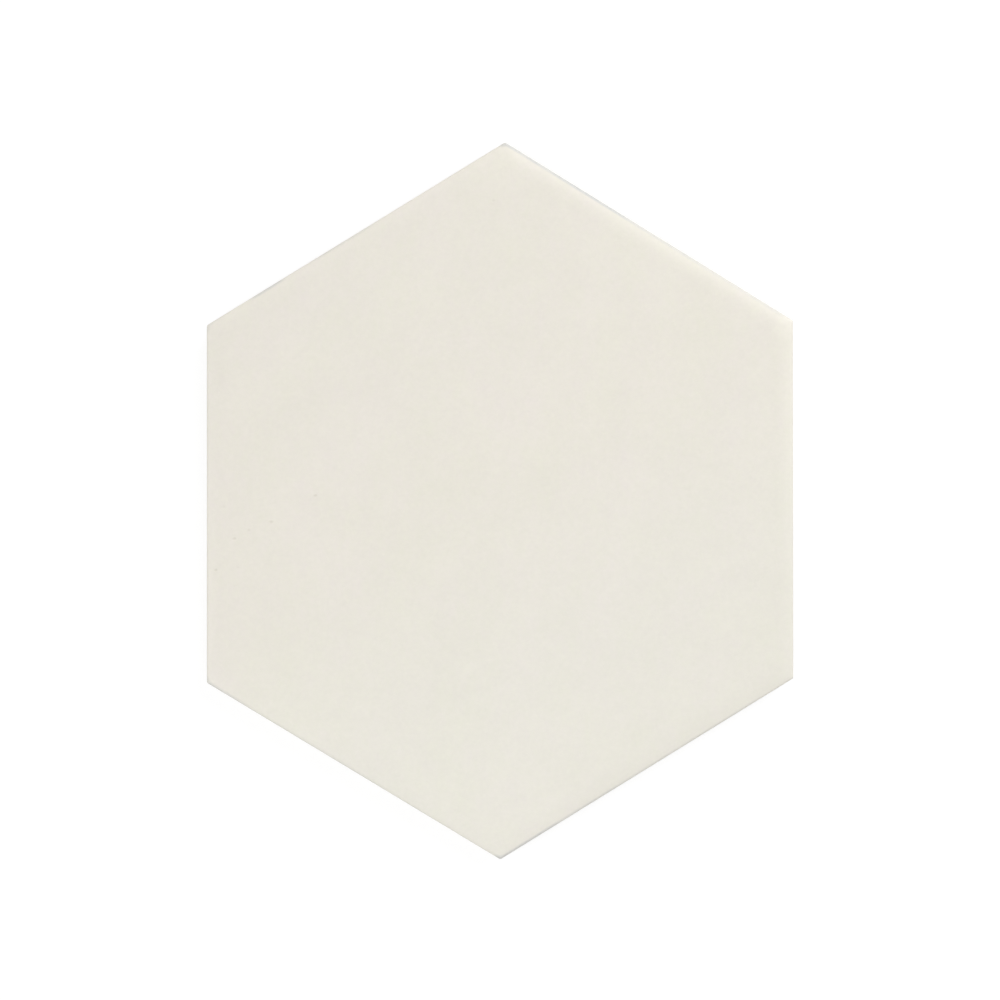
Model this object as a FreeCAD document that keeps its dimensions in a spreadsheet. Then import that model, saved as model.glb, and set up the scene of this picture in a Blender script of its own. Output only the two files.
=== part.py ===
"""Hexagon floor tile: one dry-pressed, glazed and fired ceramic tile, lying face up.

Millimetres. The origin is the middle of the back, +X runs across the two upright sides,
+Y runs towards a point and +Z is up, out of the glazed face.
"""
import FreeCAD, Part
import math
import os
from enum import IntEnum

import Sketcher
from FreeCAD import Vector

doc = FreeCAD.newDocument("HexagonFloorTile")

# Driving dimensions
SIZES = {
    # the plan has two upright sides, and four slanting ones that run up to the points
    "across_flats": 175.0,
    "across_points": 214.0,
    "upright_side": 106.7,
    "thickness": 9.0,
    "corner_radius": 0.8,
    # the face falls to the side over a wide shallow cushion and a small rolled edge
    "cushion_width": 6.0,
    "cushion_drop": 0.63,
    "edge_radius": 0.8,
    # the side is upright above, and below this height it leans in towards the back
    "draft_height": 4.5,
    "draft_inset": 0.8,
    # the back is keyed for mortar: a shallow field inside a plain rim, crossed by flush ribs
    "rim_width": 8.0,
    "key_depth": 0.7,
    "rib_width": 2.2,
    "rib_pitch": 20.6,
    # how far a cutter stands clear of what it cuts
    "cutter_clearance": 2.0,
}

sheet = doc.addObject("Spreadsheet::Sheet", "Sizes")
for row, (alias, value) in enumerate(SIZES.items(), start=1):
    sheet.set(f"A{row}", alias)
    sheet.set(f"B{row}", str(value))
    sheet.setAlias(f"B{row}", alias)
doc.recompute()


def worth(expression):
    """The number that an expression on the driving dimensions gives."""
    return float(sheet.evalExpression(expression))


class Axis(IntEnum):
    """The codes of a sketch's own axes."""
    X = -1
    Y = -2


class Spot(IntEnum):
    """The codes of the points on a line or an arc."""
    START = 1
    END = 2
    CENTRE = 3


ORIGIN = (Axis.X, Spot.START)


def new_sketch(body, role, name):
    """A sketch on one of its body's origin planes."""
    plane = next(plane for plane in body.Origin.OriginFeatures if plane.Role == role)
    sketch = body.newObject("Sketcher::SketchObject", name)
    sketch.AttachmentSupport = [(plane, "")]
    sketch.MapMode = "FlatFace"
    return sketch


def join_ends(sketch, lines):
    """Close a ring of lines, each one's end on the next one's start."""
    for line, following in zip(lines, lines[1:] + lines[:1]):
        sketch.addConstraint(Sketcher.Constraint("Coincident", line, Spot.END, following, Spot.START))


def dimension(sketch, kind, places, name, expression):
    """A dimension of a sketch, kept by an expression on the driving dimensions."""
    index = sketch.addConstraint(Sketcher.Constraint(kind, *places, worth(expression)))
    sketch.renameConstraint(index, name)
    sketch.setExpression(f"Constraints.{name}", expression)


def hexagon_sketch(body, name, half_width, half_upright, half_height):
    """A hexagon with two upright sides, the same about both axes; its half sizes are expressions."""
    x, y, point = worth(half_width), worth(half_upright), worth(half_height)
    corners = [
        Vector(x, -y),
        Vector(x, y),
        Vector(0, point),
        Vector(-x, y),
        Vector(-x, -y),
        Vector(0, -point),
    ]
    sketch = new_sketch(body, "XY_Plane", name)
    for start, end in zip(corners, corners[1:] + corners[:1]):
        sketch.addGeometry(Part.LineSegment(start, end), False)
    # a side is named for the corner that it starts from
    lower_right, upper_right, top, upper_left, lower_left, bottom = sides = list(range(6))
    join_ends(sketch, sides)
    for corner, image, mirror in [
        (lower_right, upper_right, Axis.X),
        (upper_right, upper_left, Axis.Y),
        (upper_left, lower_left, Axis.X),
        (top, bottom, Axis.X),
    ]:
        sketch.addConstraint(
            Sketcher.Constraint("Symmetric", corner, Spot.START, image, Spot.START, mirror))
    sketch.addConstraint(Sketcher.Constraint("PointOnObject", top, Spot.START, Axis.Y))
    for kind, corner, name, expression in [
        ("DistanceX", upper_right, "half_width", half_width),
        ("DistanceY", upper_right, "half_upright", half_upright),
        ("DistanceY", top, "half_height", half_height),
    ]:
        dimension(sketch, kind, (*ORIGIN, corner, Spot.START), name, expression)
    return sketch


# Pressed blank: the plan carried up to the full thickness
SIDE = "Sizes.across_flats / 2"
POINT = "Sizes.across_points / 2"
blank = doc.addObject("PartDesign::Body", "PressedBlank")
outline = hexagon_sketch(blank, "Outline", SIDE, "Sizes.upright_side / 2", POINT)
slab = blank.newObject("PartDesign::Pad", "Slab")
slab.Profile = outline
slab.setExpression("Length", "Sizes.thickness")
doc.recompute()


def cut_round_the_edge(name, section):
    """Take a section off all round the outline, mitred at its corners."""
    cut = blank.newObject("PartDesign::SubtractivePipe", name)
    cut.Profile = section
    cut.Spine = (outline, [f"Edge{number}" for number, _ in enumerate(outline.Shape.Edges, start=1)])
    cut.Transition = "Right corner"
    doc.recompute()
    return cut


# Draft: the lower part of the side leans in, so that the tile leaves its die
def draft_section():
    clear = worth("Sizes.cutter_clearance")
    top = Vector(worth(SIDE), worth("Sizes.draft_height"))
    foot = Vector(worth(SIDE) - worth("Sizes.draft_inset"), 0)
    low = foot + clear / top.y * (foot - top)
    low_outer = Vector(top.x + clear, -clear)
    top_outer = Vector(top.x + clear, top.y)
    ring = [top, low, low_outer, top_outer]

    sketch = new_sketch(blank, "XZ_Plane", "DraftSection")
    for start, end in zip(ring, ring[1:] + ring[:1]):
        sketch.addGeometry(Part.LineSegment(start, end), False)
    leaning, below, outside, above = lines = list(range(4))
    back_arris = sketch.addGeometry(Part.Point(foot), True)
    join_ends(sketch, lines)
    sketch.addConstraint(
        [
            Sketcher.Constraint("Horizontal", below),
            Sketcher.Constraint("Vertical", outside),
            Sketcher.Constraint("Horizontal", above),
            Sketcher.Constraint("PointOnObject", back_arris, Spot.START, leaning),
            Sketcher.Constraint("PointOnObject", back_arris, Spot.START, Axis.X),
        ]
    )
    top, foot, low = (leaning, Spot.START), (back_arris, Spot.START), (below, Spot.START)
    top_outer = (above, Spot.START)
    dimension(sketch, "DistanceX", (*ORIGIN, *top), "side", SIDE)
    dimension(sketch, "DistanceY", (*ORIGIN, *top), "height", "Sizes.draft_height")
    dimension(sketch, "DistanceX", (*foot, *top), "inset", "Sizes.draft_inset")
    dimension(sketch, "DistanceX", (*top, *top_outer), "outwards", "Sizes.cutter_clearance")
    dimension(sketch, "DistanceY", (*low, *ORIGIN), "downwards", "Sizes.cutter_clearance")
    return sketch


draft = cut_round_the_edge("Draft", draft_section())

# Corners: the arrises that run up between the sides are eased, as the die's corners are
STEEP = 0.5
arrises = [
    f"Edge{number}"
    for number, edge in enumerate(draft.Shape.Edges, start=1)
    if abs(edge.tangentAt(edge.FirstParameter).z) > STEEP
]
corners = blank.newObject("PartDesign::Fillet", "Corners")
corners.Base = (draft, arrises)
corners.setExpression("Radius", "Sizes.corner_radius")
doc.recompute()

# Cushion: the face falls away in a shallow arc, and a small roll carries it into the side
SETTLING_STEPS = 20


def slope_where_arcs_meet(width, drop, roll_radius):
    """The cushion's slope at its foot, where the roll starts and takes the rest of the width."""
    slope = 0.0
    for _ in range(SETTLING_STEPS):
        slope = 2 * math.atan(drop / (width - roll_radius * (1 - math.sin(slope))))
    return slope


def cushion_section():
    clear = worth("Sizes.cutter_clearance")
    width, drop = worth("Sizes.cushion_width"), worth("Sizes.cushion_drop")
    roll_radius = worth("Sizes.edge_radius")
    slope = slope_where_arcs_meet(width, drop, roll_radius)
    outwards = Vector(math.sin(slope), math.cos(slope))
    cushion_radius = drop / (1 - math.cos(slope))
    flat_end = Vector(worth(SIDE) - width, worth("Sizes.thickness"))
    cushion_centre = flat_end - Vector(0, cushion_radius)
    roll_centre = cushion_centre + (cushion_radius - roll_radius) * outwards
    side_top = roll_centre + Vector(roll_radius, 0)
    low_outer = side_top + Vector(clear, 0)
    high_inner = flat_end + Vector(0, clear)
    high_outer = Vector(low_outer.x, high_inner.y)

    sketch = new_sketch(blank, "XZ_Plane", "CushionSection")
    upward = Vector(0, 0, 1)
    meeting = math.pi / 2 - slope
    sketch.addGeometry(
        [
            Part.ArcOfCircle(Part.Circle(cushion_centre, upward, cushion_radius), meeting, math.pi / 2),
            Part.ArcOfCircle(Part.Circle(roll_centre, upward, roll_radius), 0, meeting),
            Part.LineSegment(side_top, low_outer),
            Part.LineSegment(low_outer, high_outer),
            Part.LineSegment(high_outer, high_inner),
            Part.LineSegment(high_inner, flat_end),
        ],
        False,
    )
    cushion, roll, below, outside, above, inside = range(6)
    sketch.addConstraint(
        [
            Sketcher.Constraint("Tangent", cushion, Spot.START, roll, Spot.END),
            Sketcher.Constraint("Coincident", roll, Spot.START, below, Spot.START),
            Sketcher.Constraint("Coincident", below, Spot.END, outside, Spot.START),
            Sketcher.Constraint("Coincident", outside, Spot.END, above, Spot.START),
            Sketcher.Constraint("Coincident", above, Spot.END, inside, Spot.START),
            Sketcher.Constraint("Coincident", inside, Spot.END, cushion, Spot.END),
            Sketcher.Constraint("Vertical", cushion, Spot.CENTRE, cushion, Spot.END),
            Sketcher.Constraint("Horizontal", roll, Spot.CENTRE, roll, Spot.START),
            Sketcher.Constraint("Horizontal", below),
            Sketcher.Constraint("Vertical", outside),
            Sketcher.Constraint("Horizontal", above),
            Sketcher.Constraint("Vertical", inside),
        ]
    )
    flat_end, cushion_foot = (cushion, Spot.END), (cushion, Spot.START)
    side_top, low_outer, high_inner = (below, Spot.START), (below, Spot.END), (inside, Spot.START)
    dimension(sketch, "Radius", (roll,), "edge_radius", "Sizes.edge_radius")
    dimension(sketch, "DistanceX", (*ORIGIN, *side_top), "side", SIDE)
    dimension(sketch, "DistanceY", (*ORIGIN, *flat_end), "face", "Sizes.thickness")
    dimension(sketch, "DistanceX", (*flat_end, *side_top), "width", "Sizes.cushion_width")
    dimension(sketch, "DistanceY", (*cushion_foot, *flat_end), "drop", "Sizes.cushion_drop")
    dimension(sketch, "DistanceX", (*side_top, *low_outer), "outwards", "Sizes.cutter_clearance")
    dimension(sketch, "DistanceY", (*flat_end, *high_inner), "upwards", "Sizes.cutter_clearance")
    return sketch


cushion_edge = cut_round_the_edge("CushionEdge", cushion_section())
blank.Tip = cushion_edge

# Key field: the recess in the back, parallel to the outline and inside a plain rim
INSET = "(Sizes.draft_inset + Sizes.rim_width)"
SLANT = "atan((Sizes.across_points - Sizes.upright_side) / Sizes.across_flats)"
FIELD_SIDE = f"({SIDE} - {INSET})"
FIELD_POINT = f"({POINT} - {INSET} / cos({SLANT}))"
FIELD_UPRIGHT = f"({FIELD_POINT} - {FIELD_SIDE} * tan({SLANT}))"
key_field = doc.addObject("PartDesign::Body", "KeyField")
field = key_field.newObject("PartDesign::Pad", "Field")
field.Profile = hexagon_sketch(key_field, "FieldOutline", FIELD_SIDE, FIELD_UPRIGHT, FIELD_POINT)
field.SideType = "Two sides"
field.setExpression("Length", "Sizes.key_depth")
field.setExpression("Length2", "Sizes.cutter_clearance")


# Ribs: bars flush with the rim that cross the field both ways, counted from the middle
def rib(number, thin, place, long, other_place, span):
    """A bar that is thin along one axis and runs the tile's whole span along the other."""
    bar = doc.addObject("Part::Box", "Rib")
    bar.setExpression(thin, "Sizes.rib_width")
    bar.setExpression(long, span)
    bar.setExpression("Height", "Sizes.key_depth + 2 * Sizes.cutter_clearance")
    bar.setExpression(f"Placement.Base.{place}", f"{number} * Sizes.rib_pitch - Sizes.rib_width / 2")
    bar.setExpression(f"Placement.Base.{other_place}", f"-{span} / 2")
    bar.setExpression("Placement.Base.z", "-Sizes.cutter_clearance")
    return bar


def rib_numbers(half_span):
    """The numbers of the ribs that fall inside the field, from one side to the other."""
    outermost = int(worth(half_span) / worth("Sizes.rib_pitch"))
    return range(-outermost, outermost + 1)


def without_ribs(base, name, bars):
    """What is left of the field beside a row of parallel bars."""
    row_of_bars = doc.addObject("Part::Compound", f"{name}Ribs")
    row_of_bars.Links = bars
    rest = doc.addObject("Part::Cut", name)
    rest.Base = base
    rest.Tool = row_of_bars
    return rest


upright_ribs = [
    rib(number, "Length", "x", "Width", "y", "Sizes.across_points")
    for number in rib_numbers(FIELD_SIDE)
]
level_ribs = [
    rib(number, "Width", "y", "Length", "x", "Sizes.across_flats")
    for number in rib_numbers(FIELD_POINT)
]
channels = without_ribs(key_field, "Channels", upright_ribs)
keys = without_ribs(channels, "Keys", level_ribs)

# The tile: the blank with the keys pressed into its back
tile = doc.addObject("Part::Cut", "Tile")
tile.Label = "hexagon_tile"
tile.Base = blank
tile.Tool = keys
doc.recompute()

# Checks, then the finished tile is written out
failed = [item.Name for item in doc.Objects if {"Invalid", "Error"} & set(item.State)]
if failed:
    raise RuntimeError(f"These objects did not compute: {', '.join(failed)}")
for before, after in [(slab, draft), (corners, cushion_edge), (blank, tile)]:
    if after.Shape.Volume >= before.Shape.Volume:
        raise RuntimeError(f"{after.Label} took nothing off {before.Label}")
if tile.Shape.isNull() or not tile.Shape.isValid() or len(tile.Shape.Solids) != 1:
    raise RuntimeError(f"{tile.Label} is not one valid solid")

os.makedirs("parts", exist_ok=True)
tile.Shape.exportStep(f"parts/{tile.Label}.step")
box = tile.Shape.optimalBoundingBox(False, False)
print(f"{tile.Label}: {box.XLength:.2f} x {box.YLength:.2f} x {box.ZLength:.2f} mm")
print(f"volume {tile.Shape.Volume:.1f} mm3, {len(tile.Shape.Faces)} faces")
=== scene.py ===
import math

import bpy
from mathutils import Matrix, Vector, noise
from mathutils.geometry import delaunay_2d_cdt


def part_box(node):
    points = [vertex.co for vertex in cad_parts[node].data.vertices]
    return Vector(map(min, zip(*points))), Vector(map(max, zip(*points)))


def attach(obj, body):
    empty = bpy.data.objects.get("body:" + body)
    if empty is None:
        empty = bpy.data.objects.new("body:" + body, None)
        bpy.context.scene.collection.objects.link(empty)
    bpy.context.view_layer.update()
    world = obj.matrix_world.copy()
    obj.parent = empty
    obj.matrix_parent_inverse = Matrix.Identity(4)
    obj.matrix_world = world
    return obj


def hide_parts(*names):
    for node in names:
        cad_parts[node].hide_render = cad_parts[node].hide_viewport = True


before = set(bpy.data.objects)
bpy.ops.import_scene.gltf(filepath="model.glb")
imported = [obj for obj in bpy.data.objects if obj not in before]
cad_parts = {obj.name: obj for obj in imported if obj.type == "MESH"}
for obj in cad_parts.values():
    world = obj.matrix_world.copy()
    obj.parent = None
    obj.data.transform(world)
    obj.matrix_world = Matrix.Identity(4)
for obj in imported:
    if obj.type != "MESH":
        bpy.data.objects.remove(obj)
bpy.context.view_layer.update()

# Tile
# One plate of stoneware, pressed from dry powder in a steel die and fired once. Its face is
# sprayed with an opaque ivory glaze that comes out satin and ends part of the way down the sides.
# It lies loose on its back.
MM = 0.001
half_width, half_height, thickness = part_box("hexagon_tile")[1] / MM

# Plan
# Two upright sides and four slanting ones that meet in a point at the top and the bottom. As it
# shrank in the kiln, the tile pulled each corner a little out of true, by these millimetres.
SLANT = math.radians(31.51)
CORNER_RADIUS = 0.8
CORNER_SOFTENING = 1.5
SIDE_STATIONS = 86
CORNER_STATIONS = 7
point = half_height + CORNER_RADIUS * (1 / math.cos(SLANT) - 1)
upright = point - half_width * math.tan(SLANT)
TRUE_CORNERS = {
    "lower right": (half_width, -upright),
    "upper right": (half_width, upright),
    "top": (0, point),
    "upper left": (-half_width, upright),
    "lower left": (-half_width, -upright),
    "bottom": (0, -point),
}
KILN_PULL = {
    "lower right": (0, 0.42),
    "upper right": (-0.12, 0.47),
    "top": (1.47, 0),
    "upper left": (0, -0.96),
    "lower left": (0, -0.92),
    "bottom": (0.06, 0),
}
SIDE_NAMES = ["right", "upper right", "upper left", "left", "lower left", "lower right"]


def pairs(ring):
    """Each item of a closed ring with the one that follows it."""
    return list(zip(ring, ring[1:] + ring[:1]))


def facing_out(start, end):
    """The way that a side of a counter-clockwise polygon faces."""
    return Vector((end.y - start.y, start.x - end.x)).normalized()


def line_of(start, end):
    """The line that a side lies on: the way it faces, and its reach from the middle that way."""
    out = facing_out(start, end)
    return out, out.dot(start)


corners = [Vector(place) + Vector(KILN_PULL[name]) for name, place in TRUE_CORNERS.items()]
side_ends = dict(zip(SIDE_NAMES, pairs(corners)))
side_lines = {name: line_of(start, end) for name, (start, end) in side_ends.items()}


def steps(start, end, count):
    """Evenly spaced numbers from start to end, both of them included."""
    return [start + (end - start) * step / count for step in range(count + 1)]


def rounded(polygon, inset, radius, along, around):
    """
    Points round a polygon with its sides moved in and its corners rounded as far as the sides
    allow, in so many steps along each side and around each corner.
    """
    arcs = []
    for before, corner, after in zip(polygon, polygon[1:] + polygon[:1], polygon[2:] + polygon[:2]):
        out, out_after = facing_out(before, corner), facing_out(corner, after)
        turn = -out.angle_signed(out_after)
        room = min((corner - before).length, (after - corner).length) / 2
        reach = min(inset + radius, room / math.tan(turn / 2))
        centre = corner - reach * (out + out_after) / (1 + out.dot(out_after))
        arcs.append([
            centre + (reach - inset) * (Matrix.Rotation(angle, 2) @ out)
            for angle in steps(0, turn, around)
        ])
    points = []
    for arc, following in pairs(arcs):
        points += arc[:-1]
        points += [arc[-1].lerp(following[0], share) for share in steps(0, 1, along)[:-1]]
    return points


def outline(inset):
    """The tile's outline, moved in; the deeper it lies in the face, the softer its corners are."""
    radius = CORNER_RADIUS + CORNER_SOFTENING * inset
    return rounded(corners, inset, radius, SIDE_STATIONS, CORNER_STATIONS)


# Edge
# The face falls away over a wide shallow cushion and a small rolled edge. The glaze runs over the
# roll and stops on the side in a soft bead. The bare side below leans in to leave the die.
CUSHION_WIDTH = 6.0
CUSHION_SLOPE = math.radians(13.36)
ROLL_RADIUS = 0.8
GLAZE_SKIN = 0.18
BEAD_RADIUS = 0.22
BEAD_START, BEAD_END = math.radians(60), math.radians(169)
DRAFT_HEIGHT = 4.5
DRAFT_INSET = 0.8
ARRIS_RADIUS = 0.35
cushion_radius = (CUSHION_WIDTH - ROLL_RADIUS) / math.sin(CUSHION_SLOPE) + ROLL_RADIUS
roll_height = thickness - (cushion_radius - ROLL_RADIUS) * (1 - math.cos(CUSHION_SLOPE)) - ROLL_RADIUS
lean = math.atan((DRAFT_INSET - GLAZE_SKIN) / DRAFT_HEIGHT)
arris_inset = DRAFT_INSET + ARRIS_RADIUS * (1 - math.sin(lean)) / math.cos(lean)


def bend(inset, height, radius, start, end, count):
    """A round stretch of the edge as (inset, height), its angles measured outwards from straight up."""
    return [
        (inset - radius * math.sin(angle), height + radius * math.cos(angle))
        for angle in steps(start, end, count)
    ]


cushion = bend(CUSHION_WIDTH, thickness - cushion_radius, cushion_radius, 0, CUSHION_SLOPE, count=12)
roll = bend(ROLL_RADIUS, roll_height, ROLL_RADIUS, CUSHION_SLOPE, math.pi / 2, count=9)
bead = bend(BEAD_RADIUS, BEAD_RADIUS, BEAD_RADIUS, BEAD_START, BEAD_END, count=7)
arris = bend(arris_inset, ARRIS_RADIUS, ARRIS_RADIUS, math.pi / 2 + lean, math.pi, count=5)


# Side
# Below a level line the glaze draws in by a hair, swells into its bead and ends along a foot line
# that wanders up and down, in waves given as height and length. The body below it is bare and
# plain down to the back's eased arris.
LEVEL_LINE = 7.2
HOLLOW_RISE = 0.7
HOLLOW_DEPTH = 0.02
FOOT_HEIGHT = 5.9
FOOT_WAVES = [(0.42, 31.0), (0.16, 7.0)]
FOOT_DROP = 0.1
FLAT_EDGE = 0.2
GLAZED, BARE = 0, 1
vertices, pit_shares, faces, finishes = [], [], [], []


def add_points(places, pit_share=0.0):
    """Put points into the mesh and give their numbers."""
    start = len(vertices)
    vertices.extend(places)
    pit_shares.extend([pit_share] * len(places))
    return list(range(start, len(vertices)))


def wander(place, waves):
    """How far up or down a line or face lies at a place in the plan."""
    return sum(tall * noise.noise(Vector((place.x, place.y, long)) / long) for tall, long in waves)


def add_ring(inset, height, waves=()):
    """A ring of points round the tile, wandering up and down."""
    places = [(place.x, place.y, height + wander(place, waves)) for place in outline(inset)]
    return add_points(places)


def join(upper, lower, finish):
    """Faces between one ring and the next one down."""
    for (left, right), (lower_left, lower_right) in zip(pairs(upper), pairs(lower)):
        faces.append((lower_left, lower_right, right, left))
        finishes.append(finish)


glazed_rings = [add_ring(inset, height) for inset, height in roll]
glazed_rings.append(add_ring(HOLLOW_DEPTH / 2, LEVEL_LINE))
glazed_rings.append(add_ring(HOLLOW_DEPTH, FOOT_HEIGHT + HOLLOW_RISE, FOOT_WAVES))
glazed_rings += [add_ring(inset, FOOT_HEIGHT + height, FOOT_WAVES) for inset, height in bead]
bare_rings = [glazed_rings[-1], add_ring(GLAZE_SKIN, FOOT_HEIGHT - FOOT_DROP, FOOT_WAVES)]
bare_rings.append(add_ring(GLAZE_SKIN, DRAFT_HEIGHT))
bare_rings += [add_ring(inset, height) for inset, height in arris]
bare_rings.append(add_ring(arris_inset + FLAT_EDGE, 0))
for rings, finish in [(glazed_rings, GLAZED), (bare_rings, BARE)]:
    for upper, lower in zip(rings, rings[1:]):
        join(upper, lower, finish)


# Face
# The glaze lies a few hundredths of a millimetre uneven, in ripples given as height and length.
# Gas that left it late in the firing opened a few pinholes, given by place, radius and depth.
RIPPLES = [(0.03, 37.0), (0.008, 11.0)]
FACE_SPACING = 2.2
PINHOLES = [
    (-55.0, 1.6, 0.85, 0.09),
    (-68.2, -6.2, 0.95, 0.08),
    (-74.8, -8.7, 0.90, 0.05),
    (-79.2, -11.2, 0.95, 0.08),
    (-84.7, -20.6, 0.82, 0.085),
    (-78.1, -19.8, 0.52, 0.033),
    (-82.3, -1.7, 1.00, 0.03),
    (-2.0, 89.4, 0.60, 0.05),
]
DEEPEST_PINHOLE = max(depth for *_, depth in PINHOLES)
PINHOLE_FLATNESS = 0.68
PINHOLE_RINGS = [0.0, 0.3, 0.6, 0.85, 1.0, 1.4]
PINHOLE_STATIONS = 14
PINHOLE_CLEARANCE = 1.0
# triangles fill only the inside of the first ring, and points this close together count as one
INSIDE_ONLY, SAME_SPOT = 1, 1e-6


def inset_of(place):
    """How far a place in the plan lies inside the nearest side."""
    return min(reach - out.dot(place) for out, reach in side_lines.values())


def face_point(place, inset):
    """A point of the face, on the cushion's fall and the glaze's ripples, which die out at the edge."""
    fallen = max(0.0, CUSHION_WIDTH - inset)
    height = thickness - cushion_radius + math.sqrt(cushion_radius ** 2 - fallen ** 2)
    deepest = sum(tall for tall, _ in RIPPLES)
    settled = min(1.0, max(0.0, inset - ROLL_RADIUS) / CUSHION_WIDTH)
    return Vector((place.x, place.y, height - settled * (deepest + wander(place, RIPPLES)) / 2))


def clear_of_pinholes(place):
    """Whether a place leaves room for the rings of points round every pinhole."""
    return all(
        (place - Vector((x, y))).length > radius + PINHOLE_CLEARANCE for x, y, radius, _ in PINHOLES
    )


def fill(rings, loose, finish, upwards):
    """Triangles inside the first ring, with edges along the others and corners at the loose points."""
    numbers = sum(rings, []) + loose
    spots = {number: spot for spot, number in enumerate(numbers)}
    flat = [Vector(vertices[number][:2]) for number in numbers]
    lines = [(spots[start], spots[end]) for ring in rings for start, end in pairs(ring)]
    _, _, triangles, sources, _, _ = delaunay_2d_cdt(flat, lines, [], INSIDE_ONLY, SAME_SPOT)
    for triangle in triangles:
        corners_used = [numbers[sources[corner][0]] for corner in triangle]
        faces.append(corners_used if upwards else corners_used[::-1])
        finishes.append(finish)


face_points = []
for inset, _ in cushion[:-1]:
    places = [place for place in outline(inset) if clear_of_pinholes(place)]
    face_points += add_points([face_point(place, inset) for place in places])
crest = outline(CUSHION_WIDTH)
row_spacing = FACE_SPACING * math.sqrt(3) / 2
for row in range(-int(point / row_spacing), int(point / row_spacing) + 1):
    for column in range(-int(half_width / FACE_SPACING), int(half_width / FACE_SPACING) + 1):
        place = Vector(((column + row % 2 / 2) * FACE_SPACING, row * row_spacing))
        inset = inset_of(place)
        if inset < CUSHION_WIDTH + FACE_SPACING / 2 or not clear_of_pinholes(place):
            continue
        if inset > 2 * CUSHION_WIDTH or min((place - other).length for other in crest) > FACE_SPACING / 2:
            face_points += add_points([face_point(place, inset)])
for x, y, radius, depth in PINHOLES:
    for share in PINHOLE_RINGS:
        reach = radius * share
        angles = steps(0, 2 * math.pi, PINHOLE_STATIONS)[:-1] if share else [0]
        around = [
            Vector((x + reach * math.cos(angle), y + reach * math.sin(angle) * PINHOLE_FLATNESS))
            for angle in angles
        ]
        open_share = (1 + math.cos(math.pi * min(share, 1.0))) / 2
        sunk = Vector((0, 0, depth * open_share))
        pitted = [face_point(place, inset_of(place)) - sunk for place in around]
        face_points += add_points(pitted, pit_share=open_share * depth / DEEPEST_PINHOLE)
fill(glazed_rings[:1], face_points, GLAZED, upwards=True)

# Back
# The die presses a shallow field into the back, inside a plain rim, and leaves ribs across it both
# ways that stand flush with the rim. The mortar keys into the cells between them.
RIM_WIDTH = 8.0
KEY_DEPTH = 0.7
RIB_WIDTH = 2.2
RIB_PITCH = 20.6
KEY_SLOPE_RUN = 0.6
KEY_SLOPE_OVERRUN = 0.2
KEY_SLOPE_STEPS = 7
CELL_CORNER_RADIUS = 1.2
CELL_CORNER_STATIONS = 4
LEAST_CELL_SIDE = 1.2
LEAST_CELL_AREA = 10.0
field_inset = DRAFT_INSET + RIM_WIDTH + KEY_SLOPE_RUN
cell_inset = RIB_WIDTH / 2 + KEY_SLOPE_RUN


def eased(share):
    """A share from 0 to 1 that starts and ends gently."""
    share = min(1.0, max(0.0, share))
    return share * share * (3 - 2 * share)


def clipped(polygon, out, reach):
    """What is left of a polygon inside a line that faces out and lies at that reach."""
    kept = []
    for start, end in pairs(polygon):
        room, room_after = reach - out.dot(start), reach - out.dot(end)
        if room > 0:
            kept.append(start)
        if room * room_after < 0:
            kept.append(start.lerp(end, room / (room - room_after)))
    return kept


def area(polygon):
    """The area of a counter-clockwise polygon."""
    return sum(start.cross(end) for start, end in pairs(polygon)) / 2


def bounded(lines):
    """The polygon inside all the lines, each given by the way it faces and its reach."""
    far = 2 * half_height
    polygon = [Vector(place) for place in [(-far, -far), (far, -far), (far, far), (-far, far)]]
    for out, reach in lines:
        polygon = clipped(polygon, out, reach)
    return polygon


def cell_floor(column, row):
    """The floor of a cell among the ribs, with no side too short for the die, or None if too small."""
    lines = [(out, reach - field_inset) for out, reach in side_lines.values()]
    for out, first in [(Vector((1, 0)), column), (Vector((0, 1)), row)]:
        lines.append((-out, -(first * RIB_PITCH + cell_inset)))
        lines.append((out, (first + 1) * RIB_PITCH - cell_inset))
    if area(bounded(lines)) < LEAST_CELL_AREA:
        return None
    while True:
        floor = bounded(lines)
        short = [
            start.lerp(end, 0.5)
            for start, end in pairs(floor)
            if (end - start).length < LEAST_CELL_SIDE
        ]
        if not short:
            return floor
        lines.remove(min(lines, key=lambda line: abs(line[1] - line[0].dot(short[0]))))


cell_rings = []
for column in range(-int(half_width / RIB_PITCH) - 1, int(half_width / RIB_PITCH) + 1):
    for row in range(-int(point / RIB_PITCH) - 1, int(point / RIB_PITCH) + 1):
        floor = cell_floor(column, row)
        if floor is None:
            continue
        for share in steps(-KEY_SLOPE_OVERRUN, 1 + KEY_SLOPE_OVERRUN, KEY_SLOPE_STEPS):
            offset = KEY_SLOPE_RUN * (1 - share)
            radius = CELL_CORNER_RADIUS + offset
            loop = rounded(floor, -offset, radius, along=1, around=CELL_CORNER_STATIONS)
            height = KEY_DEPTH * eased(share)
            cell_rings.append(add_points([(place.x, place.y, height) for place in loop]))
fill([bare_rings[-1]] + cell_rings, [], BARE, upwards=False)


# Glaze
# An opaque ivory, sprayed on and fired to a satin with a fine tooth. Soft patches are greener or
# pinker, darker or lighter, and it cools towards the lower right. A painted highlight makes it
# paler over the cushion and the roll and at the top point and the upper right corner, and on
# stretches of the roll it is painted grey, partly as glaze drawn back thin and partly as painted
# shade along the edge.
IVORY_GREEN = (0.791, 0.784, 0.656, 1)
IVORY_PINK = (0.815, 0.756, 0.724, 1)
IVORY_COOL = (0.740, 0.770, 0.690, 1)
CLOUDY = {"detail": 5, "roughness": 0.9}
TINT_SIZE = 22
TINT_LENGTHENED = (1, 0.6, 1)
TINT_GRAIN_SIZE = 1.8
TINT_GRAIN = 0.25
TONE_SIZE = 24
TONE = 0.10
TONE_GRAIN_SIZE = 1.2
TONE_GRAIN = 0.06
COOLER = 0.15
COOLER_WAY = (0.45, -0.9)
COOLER_FROM, COOLER_FULL = -20, 60
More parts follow.
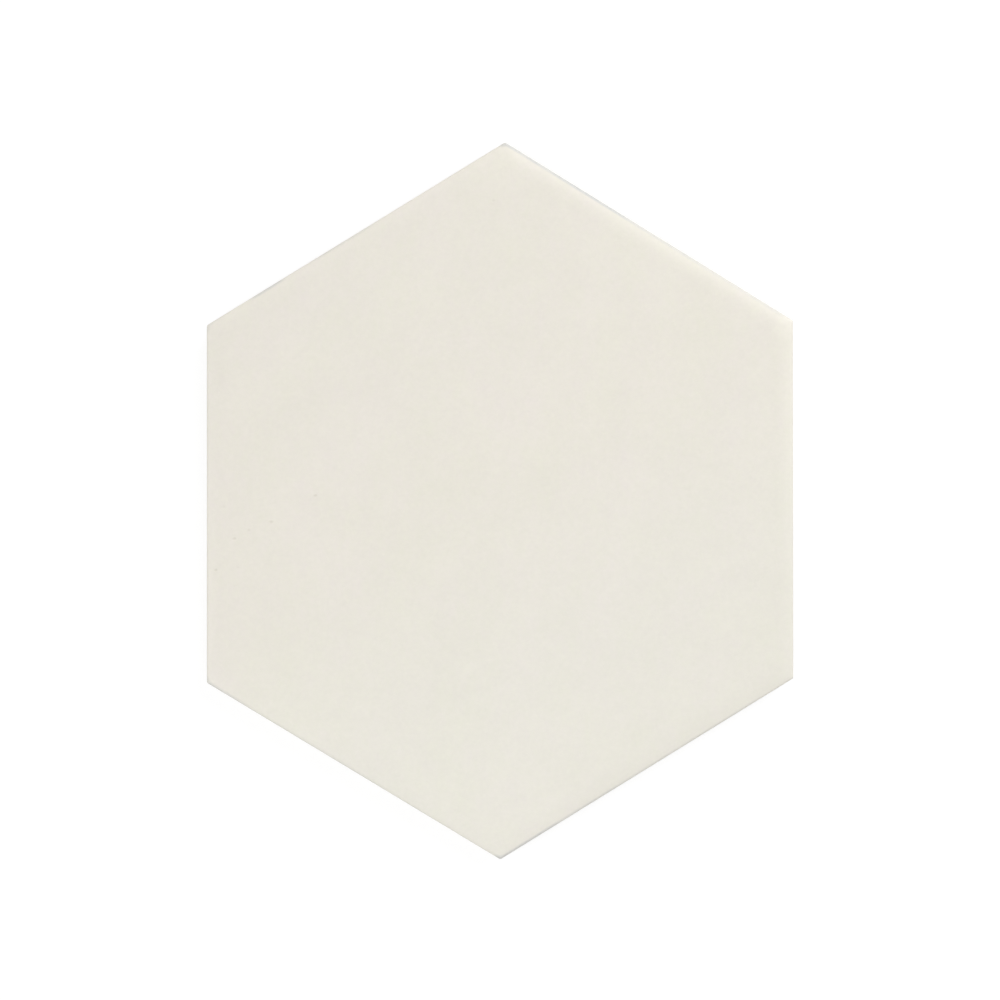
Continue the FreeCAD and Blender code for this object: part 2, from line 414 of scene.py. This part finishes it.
# between these two drops below the face the glaze is painted paler by this share, a painted highlight
# along the cushion and the roll
PAINTED_HIGHLIGHT_DROPS = [
    (0, 0.5, 0.024),
    (0.55, 1.1, 0.06),
]
# the middle of each painted highlight spot, at the top point and the upper right corner, how far it
# reaches, and by what share it is paler
PAINTED_HIGHLIGHT_SPOTS = [
    ((1, 102), 15, 0.022),
    ((85, 52), 5, 0.035),
]
HIGHLIGHT_SPOT_CORE = 1 / 3
# grey painted on the roll, partly thin glaze and partly painted shade along the edge
THIN_GLAZE_AND_SHADE_GREY = (0.62, 0.62, 0.60, 1)
# each side with a grey stretch on the roll, partly thin glaze and partly painted shade, where along it
# the stretch starts and ends, and its share of grey
THIN_AND_SHADED_STRETCHES = [
    ("upper right", 3, 102, 0.34),
    ("upper right", 33, 102, 0.14),
    ("upper right", 57, 102, 0.30),
    ("upper right", 62, 80, 0.16),
    ("upper left", 46, 68, 0.24),
    ("upper left", 78, 88, 0.60),
    ("upper left", 103, 104, 0.60),
    ("lower left", -2, 60, 0.12),
    ("lower left", -2, 12, 0.26),
    ("lower left", 101, 104, 0.20),
    ("lower right", -2, 92, 0.20),
    ("lower right", -2, 42, 0.14),
    ("lower right", -2, 20, 0.30),
]
GREY_EDGE_REACH = 2.5
GREY_EDGE_SOFT_END = 3
GREY_EDGE_FROM_DROP, GREY_EDGE_FULL_DROP = 0.52, 0.67
GREY_EDGE_KEPT_DROP, GREY_EDGE_GONE_DROP = 1.0, 1.3
GREY_EDGE_BLOTCH_SIZE = 4
GREY_EDGE_BLOTCHES = 1.2
PINHOLE_TAN = (0.70, 0.66, 0.58, 1)
SATIN = 0.34
SATIN_CHANGE_SIZE = 9
SATIN_CHANGE = 0.07
TOOTH_SIZE = 0.6
TOOTH_RELIEF = 0.003
DIMPLE_SIZE = 4
DIMPLE_RELIEF = 0.010


class Wire:
    """One output of a node. Arithmetic on it adds the Math nodes that work it out."""

    # a Mix node has sockets of one name for every type of data, so those for a colour go by number
    MIX_SHARE, MIX_FIRST, MIX_SECOND, MIX_RESULT = 0, 6, 7, 2

    def __init__(self, tree, output=None):
        self.tree = tree
        self.output = output

    def node(self, kind, settings, inputs, output=0):
        """Add a node with its settings and its inputs' values or wires, and give one of its outputs."""
        made = self.tree.nodes.new(kind)
        for name, value in settings.items():
            setattr(made, name, value)
        for name, value in inputs.items():
            if isinstance(value, Wire):
                self.tree.links.new(value.output, made.inputs[name])
            else:
                made.inputs[name].default_value = value
        return Wire(self.tree, made.outputs[output] if made.outputs else None)

    def maths(self, operation, *values):
        """A number worked out by a Math node."""
        return self.node("ShaderNodeMath", {"operation": operation}, dict(enumerate(values)))

    def __add__(self, other):
        return self.maths("ADD", self, other)

    def __sub__(self, other):
        return self.maths("SUBTRACT", self, other)

    def __rsub__(self, other):
        return self.maths("SUBTRACT", other, self)

    def __mul__(self, other):
        return self.maths("MULTIPLY", self, other)

    __radd__ = __add__
    __rmul__ = __mul__

    def stretched(self, factors):
        """A vector times a vector."""
        return self.node("ShaderNodeVectorMath", {"operation": "MULTIPLY"}, {0: self, 1: factors})

    def dimmed(self, factor):
        """A colour made darker or lighter by a factor."""
        return self.node("ShaderNodeVectorMath", {"operation": "SCALE"}, {0: self, "Scale": factor})

    def height(self):
        """How far a place lies above the floor."""
        return self.node("ShaderNodeSeparateXYZ", {}, {0: self}, "Z")

    def along(self, way):
        """How far a place lies along a way in the plan."""
        inputs = {0: self, 1: (*way, 0)}
        return self.node("ShaderNodeVectorMath", {"operation": "DOT_PRODUCT"}, inputs, "Value")

    def away_from(self, spot):
        """How far a place lies from a spot."""
        return self.node("ShaderNodeVectorMath", {"operation": "DISTANCE"}, {0: self, 1: spot}, "Value")

    def noise(self, size, detail=2.0, roughness=0.5):
        """Noise at a place in the tile, with lumps of this size in millimetres."""
        inputs = {"Vector": self, "Scale": 1 / size, "Detail": detail, "Roughness": roughness}
        return self.node("ShaderNodeTexNoise", {}, inputs)

    def rise(self, low, high):
        """0 up to the low value, 1 from the high one on, and an eased step between them."""
        settings = {"interpolation_type": "SMOOTHSTEP"}
        inputs = {"Value": self, "From Min": low, "From Max": high}
        return self.node("ShaderNodeMapRange", settings, inputs)

    def blend(self, colour, other):
        """From the first colour, where this wire is 0, to the second, where it is 1."""
        inputs = {self.MIX_SHARE: self, self.MIX_FIRST: colour, self.MIX_SECOND: other}
        return self.node("ShaderNodeMix", {"data_type": "RGBA"}, inputs, self.MIX_RESULT)


def new_finish(name):
    """A material with an empty tree, and the place in the tile in millimetres."""
    material = bpy.data.materials.new(name)
    material.use_nodes = True
    material.node_tree.nodes.clear()
    place = Wire(material.node_tree).node("ShaderNodeTexCoord", {}, {}, "Object")
    return material, place.stretched((1 / MM, 1 / MM, 1 / MM))


def bumped(relief):
    """The surface's normal with a relief on it that is worked out in millimetres."""
    return relief.node("ShaderNodeBump", {}, {"Height": relief, "Distance": MM})


def finished(surface):
    """Make a shader the surface of its material."""
    surface.node("ShaderNodeOutputMaterial", {}, {"Surface": surface})


def glaze_colour_and_highlight(place, drop):
    """The ivory at a place in the tile that lies so far below the face, made paler by painted highlights
    over the cushion, the roll, the top point and the upper right corner.
    """
    tint = place.stretched(TINT_LENGTHENED).noise(TINT_SIZE, **CLOUDY)
    tint = tint + (place.noise(TINT_GRAIN_SIZE) - 0.5) * TINT_GRAIN
    cooler = place.along(COOLER_WAY).rise(COOLER_FROM, COOLER_FULL) * COOLER
    ivory = cooler.blend(tint.blend(IVORY_GREEN, IVORY_PINK), IVORY_COOL)
    tone_and_highlight = (place.noise(TONE_SIZE, **CLOUDY) - 0.5) * TONE
    tone_and_highlight = tone_and_highlight + (place.noise(TONE_GRAIN_SIZE) - 0.5) * TONE_GRAIN
    # painted highlights: paler along the cushion and the roll, and at the top point and the upper right
    # corner
    for start, end, share in PAINTED_HIGHLIGHT_DROPS:
        tone_and_highlight = tone_and_highlight + drop.rise(start, end) * share
    for middle, reach, share in PAINTED_HIGHLIGHT_SPOTS:
        tone_and_highlight = tone_and_highlight + place.away_from((*middle, thickness)).rise(reach, reach * HIGHLIGHT_SPOT_CORE) * share
    return ivory.dimmed(1 + tone_and_highlight)


def thin_glaze_and_painted_shade(place, drop):
    """The share of grey at a place, partly thin glaze and partly painted shade along the edge, which is 0
    but on the listed stretches of the roll.
    """
    grey_share = 0
    for side, start, end, share in THIN_AND_SHADED_STRETCHES:
        first, second = side_ends[side]
        out, reach = side_lines[side]
        way = (second - first).normalized()
        near = place.along(out).rise(reach - GREY_EDGE_REACH, reach - GREY_EDGE_REACH / 2)
        along = place.along(way) - way.dot(first)
        from_start = along.rise(start - GREY_EDGE_SOFT_END, start + GREY_EDGE_SOFT_END)
        to_end = along.rise(end + GREY_EDGE_SOFT_END, end - GREY_EDGE_SOFT_END)
        grey_share = grey_share + near * from_start * to_end * share
    blotches = 1 + (place.noise(GREY_EDGE_BLOTCH_SIZE, detail=3) - 0.5) * GREY_EDGE_BLOTCHES
    on_roll = drop.rise(GREY_EDGE_FROM_DROP, GREY_EDGE_FULL_DROP) * drop.rise(GREY_EDGE_GONE_DROP, GREY_EDGE_KEPT_DROP)
    return grey_share * blotches * on_roll


def satin_glaze():
    """The glaze, with the tan of its pinholes, painted highlights, and a grey edge line that is partly
    thin glaze and partly painted shade.
    """
    material, place = new_finish("satin_glaze")
    drop = thickness - place.height()
    # the ivory carries painted highlights, and the grey on the roll is partly thin glaze and partly
    # painted shade
    ivory = thin_glaze_and_painted_shade(place, drop).blend(glaze_colour_and_highlight(place, drop), THIN_GLAZE_AND_SHADE_GREY)
    pinhole = place.node("ShaderNodeAttribute", {"attribute_name": "pinhole"}, {}, "Fac")
    tooth = place.noise(TOOTH_SIZE) * TOOTH_RELIEF
    dimples = place.noise(DIMPLE_SIZE, detail=1) * DIMPLE_RELIEF
    inputs = {
        "Base Color": pinhole.blend(ivory, PINHOLE_TAN),
        "Roughness": SATIN + place.noise(SATIN_CHANGE_SIZE) * SATIN_CHANGE,
        "Normal": bumped(tooth + dimples),
    }
    finished(place.node("ShaderNodeBsdfPrincipled", {}, inputs))
    return material


# Body
# Pale grey-buff stoneware, bare and dry. It shows its pressed grain, a few specks of iron, the
# drag of the die up the sides, and a chalky dust of kiln wash where the back lay on the rollers.
BODY_BUFF = (0.60, 0.555, 0.475, 1)
BODY_GREY = (0.52, 0.49, 0.435, 1)
CLOUD_SIZE = 14
CLOUD_FROM, CLOUD_FULL = 0.3, 0.7
IRON_SPECK = (0.26, 0.20, 0.14, 1)
SPECK_SIZE = 0.9
SPECK_FROM, SPECK_FULL = 0.70, 0.76
SPECK_SHARE = 0.7
KILN_WASH = (0.76, 0.75, 0.72, 1)
WASH_TOP = 0.25
WASH_SIZE = 5
WASH_FROM, WASH_FULL = 0.40, 0.68
WASH_SHARE = 0.6
DRY = 0.86
GRAIN_SIZE = 0.35
GRAIN_DRYNESS = 0.1
GRAIN_RELIEF = 0.03
DRAG_SIZE = 0.7
DRAG_LENGTHENED = (1, 1, 0.06)
DRAG_RELIEF = 0.02
PRESSED_SIZE = 1.6
PRESSED_RELIEF = 0.02


def fired_body():
    """The bare body of the sides and the back."""
    material, place = new_finish("fired_body")
    clouds = place.noise(CLOUD_SIZE, detail=3).rise(CLOUD_FROM, CLOUD_FULL)
    specks = place.noise(SPECK_SIZE).rise(SPECK_FROM, SPECK_FULL) * SPECK_SHARE
    dust = place.noise(WASH_SIZE, detail=4).rise(WASH_FROM, WASH_FULL)
    washed = place.height().rise(WASH_TOP, 0) * dust * WASH_SHARE
    colour = specks.blend(clouds.blend(BODY_BUFF, BODY_GREY), IRON_SPECK)
    grain = place.noise(GRAIN_SIZE, detail=3)
    drag = place.stretched(DRAG_LENGTHENED).noise(DRAG_SIZE)
    relief = grain * GRAIN_RELIEF + drag * DRAG_RELIEF + place.noise(PRESSED_SIZE) * PRESSED_RELIEF
    inputs = {
        "Base Color": washed.blend(colour, KILN_WASH),
        "Roughness": DRY + grain * GRAIN_DRYNESS,
        "Normal": bumped(relief),
    }
    finished(place.node("ShaderNodeBsdfPrincipled", {}, inputs))
    return material


# Fired tile
# The side, the face and the back with their two finishes are the whole tile, closed all round.
# An edge between two faces is crisp where they turn by more than the sharp angle.
SHARP_ANGLE = math.radians(40)
mesh = bpy.data.meshes.new("fired_tile")
mesh.from_pydata([Vector(place) * MM for place in vertices], [], faces)
mesh.materials.append(satin_glaze())
mesh.materials.append(fired_body())
mesh.polygons.foreach_set("material_index", finishes)
mesh.attributes.new("pinhole", "FLOAT", "POINT").data.foreach_set("value", pit_shares)
mesh.shade_smooth()
mesh.set_sharp_from_angle(angle=SHARP_ANGLE)
tile = bpy.data.objects.new("fired_tile", mesh)
bpy.context.scene.collection.objects.link(tile)
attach(tile, "root")
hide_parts("hexagon_tile")

# Floor
# A level pale floor. To the lens and in reflections it shows white, with the tile's shadow kept
# as a faint one, and further off it fades into the white room.
FLOOR_SIZE = 8000
FLOOR_PALE = (0.8, 0.8, 0.8, 1)
FLOOR_SHADED = (0.30, 0.30, 0.30, 1)
FLOOR_WHITE = 0.775
FADE_START, FADE_END = 200, 600


def seen(tree):
    """1 for rays from the lens, from a gloss or through glass, and 0 for the rest."""
    start = Wire(tree)
    camera_ray, glossy_ray, clear_ray = [
        start.node("ShaderNodeLightPath", {}, {}, kind)
        for kind in ("Is Camera Ray", "Is Glossy Ray", "Is Transmission Ray")
    ]
    return start.maths("MINIMUM", camera_ray + glossy_ray + clear_ray, 1)


def pale_floor():
    """Plain pale matt to the light, and white to the lens."""
    material, place = new_finish("pale_floor")
    lit = place.node("ShaderNodeBsdfDiffuse", {}, {"Color": FLOOR_PALE})
    shaded = place.node("ShaderNodeBsdfDiffuse", {}, {"Color": FLOOR_SHADED})
    glow = place.node("ShaderNodeEmission", {}, {"Strength": FLOOR_WHITE})
    near = place.node("ShaderNodeAddShader", {}, {0: shaded, 1: glow})
    far = place.node("ShaderNodeEmission", {}, {"Strength": 1})
    faded = place.away_from((0, 0, 0)).rise(FADE_START, FADE_END)
    shown = place.node("ShaderNodeMixShader", {}, {0: faded, 1: near, 2: far})
    finished(place.node("ShaderNodeMixShader", {}, {0: seen(place.tree), 1: lit, 2: shown}))
    return material


floor_mesh = bpy.data.meshes.new("floor")
floor_reach = FLOOR_SIZE / 2 * MM
floor_corners = [(x * floor_reach, y * floor_reach, 0) for x, y in [(-1, -1), (1, -1), (1, 1), (-1, 1)]]
floor_mesh.from_pydata(floor_corners, [], [(0, 1, 2, 3)])
floor_mesh.materials.append(pale_floor())
floor_object = bpy.data.objects.new("floor", floor_mesh)
bpy.context.scene.collection.objects.link(floor_object)

# Light
# A soft lamp on the upper right, a wide one on the lower left, and a weak one that stands nearly
# overhead, towards the lower point, in a white room that gives the rest of the light.
AMBIENT = 0.35
# azimuth and angle from straight up in degrees, distance and size in metres, and how bright a point
# of the same power would make a white level face; a lamp's size takes a tenth to a fifth off that
LAMPS = {
    "key_lamp": (45.5, 57.9, 1.1, 1.0, 0.385),
    "fill_lamp": (258.9, 25.3, 0.70, 0.41, 0.157),
    "side_lamp": (205.6, 47.3, 2.2, 1.7, 0.237),
}
for name, (azimuth, zenith, distance, size, point_brightness) in LAMPS.items():
    lamp = bpy.data.lights.new(name, "AREA")
    lamp.size = size
    lamp.energy = point_brightness * math.pi ** 2 * distance ** 2 / math.cos(math.radians(zenith))
    azimuth_turn = Matrix.Rotation(math.radians(azimuth), 4, "Z")
    zenith_turn = Matrix.Rotation(math.radians(zenith), 4, "Y")
    holder = bpy.data.objects.new(name, lamp)
    holder.matrix_world = azimuth_turn @ zenith_turn @ Matrix.Translation((0, 0, distance))
    holder.visible_camera = False
    bpy.context.scene.collection.objects.link(holder)

room = bpy.data.worlds.new("white_room")
room.use_nodes = True
room.node_tree.nodes.clear()
shown_white = seen(room.node_tree)
strength = AMBIENT + shown_white * (1 - AMBIENT)
background = shown_white.node("ShaderNodeBackground", {}, {"Color": (1, 1, 1, 1), "Strength": strength})
background.node("ShaderNodeOutputWorld", {}, {"Surface": background})
bpy.context.scene.world = room

# Camera
# It looks straight down on the face, with the upper point of the tile at the top of the picture.
# The picture is as wide as the frame width at the height where the roll shows its outline.
LENS, SENSOR = 100, 36
FRAME_WIDTH = 298.4
OUTLINE_HEIGHT = 7.65
AIM = (-0.02, 0.27)
camera = bpy.data.cameras.new("camera")
camera.lens = LENS
camera.sensor_width = SENSOR
camera_holder = bpy.data.objects.new("camera", camera)
camera_holder.location = Vector((*AIM, OUTLINE_HEIGHT + FRAME_WIDTH * LENS / SENSOR)) * MM
bpy.context.scene.collection.objects.link(camera_holder)
bpy.context.scene.camera = camera_holder
bpy.context.scene.view_settings.view_transform = "Standard"
